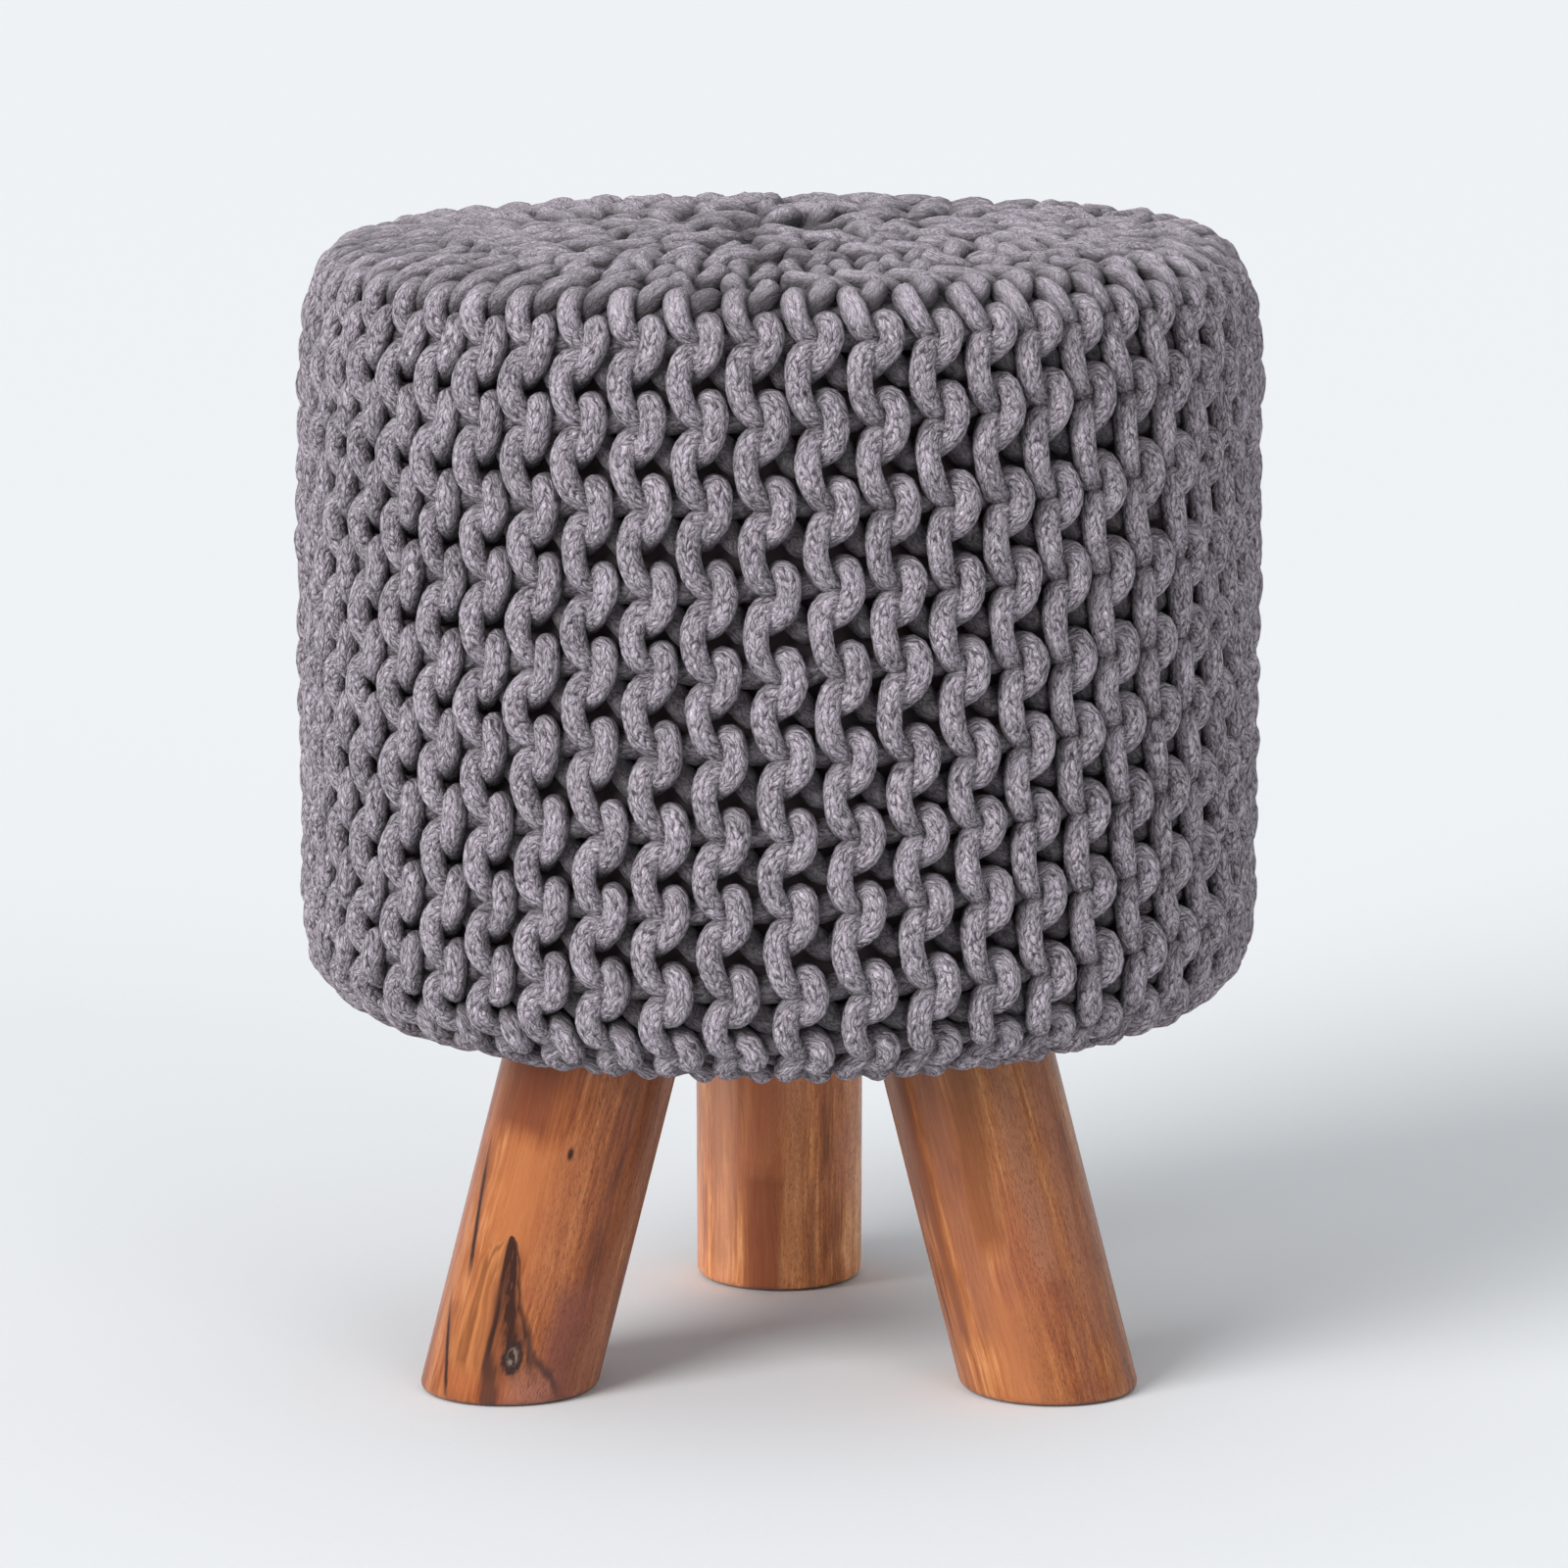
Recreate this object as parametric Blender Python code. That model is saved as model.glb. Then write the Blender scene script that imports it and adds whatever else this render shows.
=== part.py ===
"""Round pouf in a chunky knitted cord cover, standing on three splayed wooden legs.

Origin: on the floor under the middle of the seat.  +Z is up and -Y is the front.
"""
import math

import bmesh
import bpy
from mathutils import Matrix, Vector

# ---- seat ------------------------------------------------------------------------
SEAT_RADIUS = 0.175          # to the ridges of the knitting
TOP_HEIGHT = 0.417           # floor to the middle of the crowned top
CROWN = 0.0035               # how far the top falls from its middle to the shoulder
UNDERSIDE_HEIGHT = 0.128     # floor to the flat underside
SHOULDER = (0.028, 0.070)    # width and height of the rounded upper corner
SHOULDER_POWER = 3.2         # 2 is an ellipse, more is squarer
LOWER_CORNER = (0.056, 0.048)
LOWER_POWER = 2.45

# ---- knitting --------------------------------------------------------------------
RIB_COUNT = 50               # ridges of loops round the seat
RIB_DEPTH = 0.0065           # ridge to valley
STITCH_PITCH = 0.0284        # one loop to the next along a ridge
RIDGE_SWAY = 0.22            # sideways swing of a ridge, as a share of half a rib
GATHER_RADIUS = 0.040        # inside this the top is drawn in and plain
RIB_FADE = 0.050             # the ribs grow to full depth over this length of profile

# ---- legs ------------------------------------------------------------------------
LEG_RADIUS = 0.0315
LEG_SPLAY = math.radians(16.4)
FOOT_CIRCLE = 0.114          # middle of the seat to the middle of a foot
FOOT_EDGE = 0.0035           # rounding round the foot
FOOT_EDGE_STEPS = 3
LEG_SIDES = 48
JOIN_GAP = 0.0003            # between a leg's top and the underside
LEG_DIRECTIONS = {           # degrees round +Z from +X
    "leg_back": 90.0,
    "leg_front_left": 210.0,
    "leg_front_right": 330.0,
}

# ---- finishes: base colour, roughness --------------------------------------------
CORD_FINISH = ((0.215, 0.190, 0.205, 1.0), 0.95)
WOOD_FINISH = ((0.480, 0.205, 0.075, 1.0), 0.35)


def clear_scene():
    for item in list(bpy.data.objects):
        bpy.data.objects.remove(item, do_unlink=True)


def make_material(name, finish):
    colour, roughness = finish
    material = bpy.data.materials.new(name)
    material.use_nodes = True
    shader = material.node_tree.nodes["Principled BSDF"]
    shader.inputs["Base Color"].default_value = colour
    shader.inputs["Roughness"].default_value = roughness
    shader.inputs["Metallic"].default_value = 0.0
    return material


def add_object(name, mesh_data, material):
    mesh = bpy.data.meshes.new(name)
    mesh_data.to_mesh(mesh)
    mesh_data.free()
    mesh.shade_smooth()
    mesh.set_sharp_from_angle(angle=math.radians(40.0))
    mesh.materials.append(material)
    item = bpy.data.objects.new(name, mesh)
    bpy.context.collection.objects.link(item)
    return item


# ---- cover -----------------------------------------------------------------------
def corner_points(centre, size, power, start, end, steps=24):
    """A rounded corner as a superellipse arc, between two angles in degrees."""
    points = []
    for step in range(steps + 1):
        angle = math.radians(start + (end - start) * step / steps)
        across = max(math.cos(angle), 0.0) ** (2.0 / power)
        rise = abs(math.sin(angle)) ** (2.0 / power)
        points.append(Vector((centre[0] + size[0] * across,
                              centre[1] + math.copysign(size[1] * rise, math.sin(angle)))))
    return points


def seat_profile():
    """Radius and height down the seat, from the gathered middle to the flat underside."""
    shoulder_start = SEAT_RADIUS - SHOULDER[0]
    points = []
    steps = 12
    for step in range(steps):
        radius = GATHER_RADIUS + (shoulder_start - GATHER_RADIUS) * step / steps
        fall = CROWN * (radius / shoulder_start) ** 2
        points.append(Vector((radius, TOP_HEIGHT - fall)))
    shoulder_centre = (shoulder_start, TOP_HEIGHT - CROWN - SHOULDER[1])
    lower_centre = (SEAT_RADIUS - LOWER_CORNER[0], UNDERSIDE_HEIGHT + LOWER_CORNER[1])
    points += corner_points(shoulder_centre, SHOULDER, SHOULDER_POWER, 90.0, 0.0)
    points += corner_points(lower_centre, LOWER_CORNER, LOWER_POWER, 0.0, -90.0)
    return points


def resample(points, pitch):
    """Points evenly spaced along a line, each with its distance and outward normal."""
    lengths = [0.0]
    for before, after in zip(points, points[1:]):
        lengths.append(lengths[-1] + (after - before).length)
    count = round(lengths[-1] / pitch)
    rows = []
    span = 0
    for step in range(count + 1):
        distance = lengths[-1] * step / count
        while span < len(points) - 2 and lengths[span + 1] < distance:
            span += 1
        along = (points[span + 1] - points[span]).normalized()
        place = points[span] + along * (distance - lengths[span])
        rows.append((place, distance, Vector((-along.y, along.x))))
    return rows


def ease(value):
    value = min(max(value, 0.0), 1.0)
    return value * value * (3.0 - 2.0 * value)


def build_cover(material):
    """The filled seat, its face raised into ridges that sway with each loop."""
    rows = resample(seat_profile(), STITCH_PITCH / 2.0)
    total = rows[-1][1]
    columns = RIB_COUNT * 2
    mesh = bmesh.new()
    rings = []
    for index, (place, distance, normal) in enumerate(rows):
        fade = ease(distance / RIB_FADE) * ease((total - distance) / RIB_FADE)
        sway = RIDGE_SWAY * fade * (-1.0) ** index
        ring = []
        for column in range(columns):
            angle = math.tau * (column + sway) / columns
            depth = RIB_DEPTH * fade * (column % 2)
            radius = place.x - normal.x * depth
            height = place.y - normal.y * depth
            ring.append(mesh.verts.new((radius * math.cos(angle),
                                        radius * math.sin(angle), height)))
        rings.append(ring)
    for upper, lower in zip(rings, rings[1:]):
        for column in range(columns):
            following = (column + 1) % columns
            mesh.faces.new((upper[column], lower[column], lower[following], upper[following]))
    middle = mesh.verts.new((0.0, 0.0, TOP_HEIGHT))
    for column in range(columns):
        mesh.faces.new((middle, rings[0][column], rings[0][(column + 1) % columns]))
    mesh.faces.new(list(reversed(rings[-1])))
    bmesh.ops.recalc_face_normals(mesh, faces=mesh.faces)
    return add_object("knitted_cover", mesh, material)


# ---- legs ------------------------------------------------------------------------
def build_leg(name, degrees, material):
    """A round leg leaning in to the seat, its foot and its top cut level."""
    length = UNDERSIDE_HEIGHT - JOIN_GAP
    mesh = bmesh.new()
    bmesh.ops.create_cone(mesh, cap_ends=True, segments=LEG_SIDES, radius1=LEG_RADIUS,
                          radius2=LEG_RADIUS, depth=length,
                          matrix=Matrix.Translation((0.0, 0.0, length / 2.0)))
    foot_rim = [edge for edge in mesh.edges
                if all(vert.co.z < FOOT_EDGE for vert in edge.verts)]
    bmesh.ops.bevel(mesh, geom=foot_rim, offset=FOOT_EDGE, segments=FOOT_EDGE_STEPS,
                    profile=0.5, affect="EDGES")
    for vert in mesh.verts:
        vert.co.x = (FOOT_CIRCLE + vert.co.x / math.cos(LEG_SPLAY)
                     - vert.co.z * math.tan(LEG_SPLAY))
    bmesh.ops.recalc_face_normals(mesh, faces=mesh.faces)
    item = add_object(name, mesh, material)
    item.rotation_euler.z = math.radians(degrees)
    return item


def main():
    clear_scene()
    build_cover(make_material("cotton_cord", CORD_FINISH))
    wood = make_material("lacquered_wood", WOOD_FINISH)
    for name, degrees in LEG_DIRECTIONS.items():
        build_leg(name, degrees, wood)


main()
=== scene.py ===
"""The looks of a pouf stool: a chunky knitted cord cover over a filled seat, on three wooden legs.

Metres, +Z up, -Y is the front.  The seat's size comes from the frame's knitted_cover, and every
loop of cord is laid over that form: along its profile, round it and in from it.
"""
import math

import bpy
import numpy as np
from mathutils import Matrix, Vector


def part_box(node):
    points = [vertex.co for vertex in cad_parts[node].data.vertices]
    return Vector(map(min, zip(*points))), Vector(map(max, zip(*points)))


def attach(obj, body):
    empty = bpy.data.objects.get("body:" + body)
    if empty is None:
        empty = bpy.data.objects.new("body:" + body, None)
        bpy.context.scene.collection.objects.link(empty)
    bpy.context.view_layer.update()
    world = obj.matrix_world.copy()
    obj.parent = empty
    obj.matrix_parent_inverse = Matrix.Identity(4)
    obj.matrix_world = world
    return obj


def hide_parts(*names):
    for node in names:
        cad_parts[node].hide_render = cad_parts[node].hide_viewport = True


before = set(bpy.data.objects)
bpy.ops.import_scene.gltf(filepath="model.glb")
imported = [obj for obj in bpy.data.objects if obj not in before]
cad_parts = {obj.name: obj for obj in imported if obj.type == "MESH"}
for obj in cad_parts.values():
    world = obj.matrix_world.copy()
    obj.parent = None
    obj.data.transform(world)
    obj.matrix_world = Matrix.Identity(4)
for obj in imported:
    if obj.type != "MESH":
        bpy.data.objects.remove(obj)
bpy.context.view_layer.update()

# ---- the seat's outer form -------------------------------------------------------
SEAT_LOW, SEAT_HIGH = (Vector(corner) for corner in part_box("knitted_cover"))
SEAT_RADIUS = (SEAT_HIGH.x - SEAT_LOW.x) / 2.0
CROWN = 0.0035               # how far the top falls from its middle to the shoulder
SHOULDER = (0.028, 0.070)    # width and height of the rounded upper corner
SHOULDER_POWER = 3.2         # 2 is an ellipse, more is squarer
LOWER_CORNER = (0.056, 0.048)
LOWER_POWER = 2.45
PROFILE_POINTS = 1200        # from the middle of the top to that of the underside
PROFILE_BLUR = 12            # times that the profile's direction is smoothed
CORE_INSET = 0.0165          # the filling's face, inside the knitting
CORE_ROWS, CORE_SIDES = 64, 96

# How the soft seat differs from that form, in height
TOP_DIP = -0.0032            # the whole top
TOP_TILT = 0.0012            # its right side, and as much the other way its left
TOP_ENDS = 0.0047            # both its sides
TOP_FRONT = 0.008            # its front edge
TOP_DOME = 0.0075            # its middle
LOW_LEFT = 0.003             # how far the lower left corner hangs

# ---- the knitting ----------------------------------------------------------------
COURSES = 50                 # rows of cord round the seat, each running from top to underside
LOOP_PITCH = 0.0284          # one loop to the next along a course
CORD_RADIUS = 0.0045
CORD_LUMPS = 0.052           # how uneven the cord is, as a share of its radius
PROUD = 0.0008               # how far the cord stands out past the frame's form
ROW_CLIMB = 1                # loops that a row climbs on its way round the seat
ROW_START = 0.0138           # where the first course's loops start along the profile
CROWDING = 0.04              # the columns are this much wider at the front than the mean
DRIFT, DRIFT_SWING = 0.072, 0.098    # how far columns lean to the right, as a slope
LOOP_MIDDLE = 0.004          # depth halfway between a loop's bulge and where it passes behind
HIDDEN_SWELL = 0.14          # how much thicker the cord is where it passes behind
UNDER_PRESS, UNDER_SINK = 0.35, 0.0016   # loops lie flatter and deeper round the lower corner
UNDER_FROM, UNDER_RUN = 0.69, 0.08       # where that starts, and over what share of the profile

# Where courses end as the top and the underside draw in
FIRST_END = 0.87             # no course ends farther out, as a share of the seat's radius
LAST_END = 0.005             # nor does one come nearer the middle
END_ORDER = 0.6180339887     # from one course's end to the next, as a share of the farthest
TOP_ORDER, UNDER_ORDER = 0.31, 0.77      # the first course's end, in the same shares
END_FADE = 0.016             # a course gives way to its neighbours over this distance
END_SINK, END_RUN = 0.006, 0.016         # how far its end dives in, and over what length
SIDE_TOP, SIDE_FOOT = 0.05, 0.06         # between these, in from top and underside, none ends

# How far loops stray: pairs of a blur, which makes near loops agree, and a size
SIDE_SLIP = ((5, 0.0008), (1, 0.0007))
DOWN_SLIP = ((6, 0.0014), (1, 0.0010))
DEPTH_SLIP = ((3, 0.0004), (0, 0.0004))
SEED = 11

# The cord's mesh
LOOP_LENGTH = 0.092          # cord in one loop
SEGMENTS_A_LOOP = 36
CORD_SIDES = 12
CURVE_STEPS = 8              # points from one knot of a course to the next, before they are spread
BEND_WEIGHT, BEND_MOST = 0.006, 400.0    # how much closer points lie in a bend, up to a limit
CORD_SHIFT = 0.0137          # how far each course's braid is moved on along the cord

# One loop of a course, in millimetres.  A course bulges left in its own column, passes behind to
# the next column, bulges right there, and passes back behind.
#        column  side   down  depth
LOOP = (
    (0.0,   6.4,   3.0, -8.8),
    (0.0,   3.2,   0.2, -7.2),     # out from under its neighbour
    (0.0,   0.2,  -1.0, -4.4),
    (0.0,  -3.0,  -0.2, -2.4),
    (0.0,  -5.1,   2.6, -0.9),
    (0.0,  -6.1,   6.4, -0.1),     # the left bulge
    (0.0,  -6.1,  10.2,  0.0),
    (0.0,  -5.5,  14.0, -0.7),
    (0.0,  -4.3,  17.2, -2.0),
    (0.0,  -1.8,  19.9, -4.2),
    (0.0,   1.8,  21.4, -6.8),
    (0.0,   5.8,  21.8, -8.3),     # behind, under the loop on its right
    (0.5,   0.0,  20.7, -7.0),
    (1.0,  -6.2,  20.2, -8.4),
    (1.0,  -2.6,  18.9, -8.9),
    (1.0,   0.8,  16.8, -7.8),     # out again in the next column
    (1.0,   3.2,  14.9, -4.8),
    (1.0,   5.0,  14.8, -2.2),
    (1.0,   5.9,  16.8, -0.7),
    (1.0,   6.2,  19.8,  0.0),     # the right bulge
    (1.0,   5.7,  23.2,  0.0),
    (1.0,   4.2,  26.5, -0.7),
    (1.0,   1.8,  29.1, -2.6),
    (1.0,  -1.2,  31.2, -5.8),
    (1.0,  -4.8,  33.0, -8.4),     # back behind
    (1.0,  -8.4,  34.4, -8.8),
    (0.5,   0.0,  34.6, -8.2),
)
LOOP_TABLE_PITCH = 27.0      # the pitch that the table's down values were drawn at

# ---- the cord's finish, lengths in millimetres -----------------------------------
MILLIMETRES = 1000.0         # in a metre
BRAID_TRACKS = 12.0          # tracks of strands round the cord, slanting left and right by turns
TRACK_WIDTH = 2.3
SLANT_ALONG, SLANT_ACROSS = 0.86, 0.5    # a strand's direction
STRAND_LONG, STRAND_WIDE = 0.40, 1.05    # strands a millimetre, along and across them
CORD_TONES = ((0.05, (0.030, 0.024, 0.028)), (0.42, (0.190, 0.158, 0.188)),
              (0.90, (0.80, 0.705, 0.80)))
CORD_DEPTH_SHADE = (0.027, 0.020, 0.023)        # painted shade: the colour the cord turns to deep in the knitting
SHADED_FROM, SHADED_TO = 2.6, 9.0        # how deep the painted shade starts, and where it is full
SHADED = 0.80                            # how far the painted shade darkens the colour
# On the top the cord is also painted lighter, and its painted depth shade is stronger
TOP_FROM, TOP_RISE = 0.400, 80.0         # metres up where the evener top starts, and how sharply
# The filling's colours: painted shade, dark enough to stand for the shade in the gaps
CORE_SHADE_TONES = ((0.058, 0.044, 0.050), (0.115, 0.090, 0.098))

# ---- the legs --------------------------------------------------------------------
LEG_RADIUS = 0.0315
LEG_SPLAY = math.radians(16.4)
FOOT_CIRCLE = 0.114          # middle of the seat to the middle of a foot
FOOT_EDGE = 0.0035           # rounding round the foot
FOOT_EDGE_STEPS = 9
LEG_SIDES, LEG_ROWS = 120, 40
CAP_RINGS = (0.35, 0.7)      # rings inside the foot and the top, as shares of the radius
# Name, direction in degrees, degrees from its outer side to its front, seed, colour factor
# The back leg's factor is partly paler wood, partly painted light for the seat's shade over it
LEGS = (
    ("leg_back", 90.0, 180.0, 2.0, (1.85, 2.15, 2.45)),
    ("leg_front_left", 210.0, 60.0, 14.0, (0.86, 0.80, 0.80)),
    ("leg_front_right", 330.0, -60.0, 27.0, (0.94, 0.96, 0.98)),
)
FIGURED_LEG = "leg_front_left"

# ---- the wood's finish, places in millimetres round a leg's front and up from its foot
WOOD_TONES = ((0.10, (0.140, 0.036, 0.010)), (0.38, (0.300, 0.086, 0.024)),
              (0.62, (0.450, 0.154, 0.046)), (0.92, (0.640, 0.290, 0.115)))
RED_WOOD = (0.31, 0.092, 0.046)
PORE_COLOUR = (0.120, 0.036, 0.018)
FOOT_SHADE, FOOT_SHADE_HEIGHT = (0.030, 0.014, 0.010), 1.6
BAND_FADE = 9.0              # length over which a stripe ends
# Each leg's stripes: place round it, slope, half width, from, to, colour, strength
GRAIN = {
    "leg_front_left": (
        # This stripe darkens the leg's top: partly the wood's colour, partly painted shade under
        # the seat
        (-22.0, 0.0, 16.0, 88.0, 150.0, (0.179, 0.047, 0.019), 0.75),
        (-14.0, 0.0, 12.0, 45.0, 95.0, (0.485, 0.176, 0.058), 0.70),
        (-19.0, 0.0, 6.0, -10.0, 45.0, (0.456, 0.148, 0.048), 0.70),
        (2.0, 0.0, 8.0, 30.0, 100.0, (0.436, 0.156, 0.058), 0.55),
        (16.0, 0.0, 8.5, -8.0, 47.0, (0.242, 0.078, 0.048), 0.85),
        (26.0, 0.02, 5.0, 0.0, 130.0, (0.291, 0.098, 0.048), 0.45),
    ),
    "leg_front_right": (
        (-29.5, 0.0, 3.6, 20.0, 140.0, (0.218, 0.066, 0.029), 0.80),
        (-17.0, 0.0, 6.0, 20.0, 140.0, (0.301, 0.105, 0.054), 0.60),
        (-12.0, 0.07, 6.0, 52.0, 150.0, (0.252, 0.074, 0.020), 0.85),
        (11.0, 0.0, 5.0, 38.0, 125.0, (0.407, 0.176, 0.092), 0.60),
        (-5.0, 0.0, 12.0, -12.0, 42.0, (0.417, 0.144, 0.048), 0.60),
        (25.0, 0.0, 6.0, 10.0, 140.0, (0.330, 0.117, 0.065), 0.60),
        (16.0, 0.0, 4.0, -12.0, 45.0, (0.262, 0.086, 0.044), 0.60),
    ),
    "leg_back": (
        (-7.5, 0.02, 9.0, 55.0, 150.0, (0.252, 0.069, 0.027), 0.85),
        (-6.0, 0.0, 9.0, -14.0, 66.0, (0.165, 0.039, 0.015), 0.90),
        (6.0, 0.0, 4.0, 10.0, 150.0, (0.407, 0.156, 0.061), 0.60),
        (12.5, 0.0, 2.0, -10.0, 60.0, (0.194, 0.058, 0.027), 0.50),
        (-23.0, 0.0, 6.0, 0.0, 140.0, (0.466, 0.191, 0.095), 0.50),
    ),
}

# The figured leg: a flame of dark grain, a knot, cracks and a pin mark
FLAME_TIP = (-13.9, 53.2)
FLAME_LEAN = 0.27            # how far its middle runs to the right on the way down, as a slope
FLAME_FOOT, FLAME_LENGTH = 8.0, 48.0
FLAME_HALF, FLAME_TAPER = 10.2, 0.6      # half width at its foot, and how it narrows upwards
FLAME_LINES = 8.5            # lines of grain in it, in radians across its half width
FLAME_PALE, FLAME_LINE = (0.57, 0.250, 0.080), (0.190, 0.055, 0.014)
FLAME_GROUND, FLAME_DARK = (0.250, 0.080, 0.026), (0.030, 0.008, 0.004)
BELOW_KNOT, SLANT_COLOUR = (0.40, 0.165, 0.105), (0.070, 0.028, 0.022)
FOOT_CRACK = (0.075, 0.026, 0.016)
KNOT_PLACE, KNOT_SIZE = (-1.9, 14.2), (3.2, 5.4)
KNOT_DARK, KNOT_PALE = (0.022, 0.011, 0.009), (0.34, 0.28, 0.22)
PATCH_COLOUR = (0.300, 0.088, 0.052)
# Cracks: place round the leg, height that it is measured at, slope leftwards, from, to, half width
CRACKS = ((-27.1, 37.2, 0.150, 36.0, 90.0, 0.85), (-27.0, 2.0, 0.30, -10.0, 34.0, 0.7))
CRACK_SIDES, CRACK_DARK = (0.230, 0.066, 0.026), (0.026, 0.010, 0.007)
PIN_PLACE, PIN_SIZE = (0.2, 90.5), (0.8, 1.8)
PIN_COLOUR = (0.028, 0.006, 0.004)

# ---- the surroundings ------------------------------------------------------------
PAPER_TONES = ((0.845, 0.858, 0.872), (0.875, 0.888, 0.902))
FLOOR_SIDES, FLOOR_RINGS = 64, (1.0, 4.0, 12.0, 40.0)
# Name, azimuth with 0 at the front, elevation, width, all in degrees, and strength
LIGHTS = (("key", -45.0, 26.0, 34.0, 3.05), ("fill", 30.0, 26.0, 30.0, 0.45))
ROOM_COLOUR = (0.94, 0.97, 1.0, 1.0)
IMAGE_WIDTH = 1600.0         # pixels
FOCAL_LENGTH = 8494.0        # pixels
SENSOR_WIDTH = 36.0          # millimetres
CAMERA_PLACE = (0.0018, -2.999, 0.7813)
CAMERA_TILT = 0.1874         # down from level, in radians


# ---- forms -----------------------------------------------------------------------
def ease(value):
    value = np.clip(value, 0.0, 1.0)
    return value * value * (3.0 - 2.0 * value)


def rounded_corner(centre, size, power, start, end, steps=40):
    """A rounded corner as a superellipse arc, between two angles in degrees."""
    angles = np.radians(np.linspace(start, end, steps + 1))
    across = np.clip(np.cos(angles), 0.0, None) ** (2.0 / power)
    rise = np.sign(np.sin(angles)) * np.abs(np.sin(angles)) ** (2.0 / power)
    return np.stack([centre[0] + size[0] * across, centre[1] + size[1] * rise], -1)


def distances(points):
    """How far along a line each of its points is."""
    return np.concatenate([[0.0], np.cumsum(np.linalg.norm(np.diff(points, axis=0), axis=1))])


def seat_profile():
    """Radius and height, from the middle of the top over the side to the underside's middle."""
    start = SEAT_RADIUS - SHOULDER[0]
    radius = np.linspace(0.0, start, 60)[:-1]
    top = np.stack([radius, SEAT_HIGH.z - CROWN * (radius / start) ** 2], -1)
    shoulder = rounded_corner((start, SEAT_HIGH.z - CROWN - SHOULDER[1]), SHOULDER,
                              SHOULDER_POWER, 90.0, 0.0)
    lower = rounded_corner((SEAT_RADIUS - LOWER_CORNER[0], SEAT_LOW.z + LOWER_CORNER[1]),
                           LOWER_CORNER, LOWER_POWER, 0.0, -90.0)
    inner = np.linspace(SEAT_RADIUS - LOWER_CORNER[0], 0.0, 50)[1:]
    under = np.stack([inner, np.full_like(inner, SEAT_LOW.z)], -1)
    points = np.concatenate([top, shoulder, lower, under])
    apart = np.linalg.norm(np.diff(points, axis=0), axis=1) > 1e-7
    return points[np.concatenate([[True], apart])]


class Form:
    """The seat's profile, moved in by an inset, as evenly spaced points with their normals."""

    def __init__(self, inset):
        points = seat_profile()
        along = distances(points)
        even = np.linspace(0.0, along[-1], PROFILE_POINTS)
        points = np.stack([np.interp(even, along, points[:, i]) for i in (0, 1)], -1)
        ahead = np.gradient(points, axis=0)
        ahead /= np.linalg.norm(ahead, axis=1)[:, None]
        for _ in range(PROFILE_BLUR):
            ahead[1:-1] = (ahead[:-2] + 2.0 * ahead[1:-1] + ahead[2:]) / 4.0
        ahead /= np.linalg.norm(ahead, axis=1)[:, None]
        self.normal = np.stack([-ahead[:, 1], ahead[:, 0]], -1)
        self.points = points - self.normal * inset
        self.points[:, 0] = np.maximum(self.points[:, 0], 0.0)
        self.along = even
        self.length = even[-1]

    def at(self, distance):
        """Radius, height and outward normal at distances along the profile."""
        place = [np.interp(distance, self.along, self.points[:, i]) for i in (0, 1)]
        normal = [np.interp(distance, self.along, self.normal[:, i]) for i in (0, 1)]
        return place[0], place[1], normal[0], normal[1]


def shares(form):
    """How wide each course is at each distance, from 0 where it has ended to 1, and its ends."""
    farthest = (SEAT_RADIUS - CORD_RADIUS) * FIRST_END
    order = np.arange(COURSES) * END_ORDER
    reach = np.maximum((order + TOP_ORDER) % 1.0 * farthest, LAST_END)
    reach_under = np.maximum((order + UNDER_ORDER) % 1.0 * farthest, LAST_END)
    radius, height = form.points.T
    upper = form.along < form.length * 0.5
    ends = np.where(upper[None, :], reach[:, None], reach_under[:, None])
    width = ease((radius[None, :] - ends) / END_FADE + 0.5)
    side = (height < SEAT_HIGH.z - SIDE_TOP) & (height > SEAT_LOW.z + SIDE_FOOT)
    width[:, side] = 1.0
    return np.maximum(width, 1e-6), reach, reach_under


def settle(points, height):
    """Moves points up or down from the seat's form, as the soft seat is a little uneven."""
    sideways = points[:, 0] / SEAT_RADIUS
    upper = ease((height - SEAT_LOW.z) / (SEAT_HIGH.z - SEAT_LOW.z) * 2.0 - 1.0)
    points[:, 2] += upper * (TOP_DIP + TOP_TILT * sideways + TOP_ENDS * sideways ** 2)
    front = np.maximum(-points[:, 1] / SEAT_RADIUS, 0.0)
    reach = np.hypot(points[:, 0], points[:, 1]) / SEAT_RADIUS
    lift = TOP_FRONT * front ** 2 + TOP_DOME * np.clip(1.0 - reach ** 2, 0.0, 1.0)
    points[:, 2] += upper ** 2 * lift
    lower = ease(1.0 - (height - SEAT_LOW.z) / LOWER_CORNER[0])
    points[:, 2] -= lower * LOW_LEFT * np.maximum(-sideways, 0.0) ** 2


def smooth(knots):
    """Points on a curve through the knots."""
    padded = np.concatenate([2 * knots[:1] - knots[1:2], knots, 2 * knots[-1:] - knots[-2:-1]])
    a, b, c, d = (padded[i:len(padded) - 3 + i, None, :] for i in range(4))
    t = np.linspace(0.0, 1.0, CURVE_STEPS + 1)[:-1][None, :, None]
    curve = 0.5 * (2 * b + (c - a) * t + (2 * a - 5 * b + 4 * c - d) * t ** 2
                   + (3 * b - a - 3 * c + d) * t ** 3)
    return np.concatenate([curve.reshape(-1, knots.shape[1]), knots[-1:]])


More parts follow.
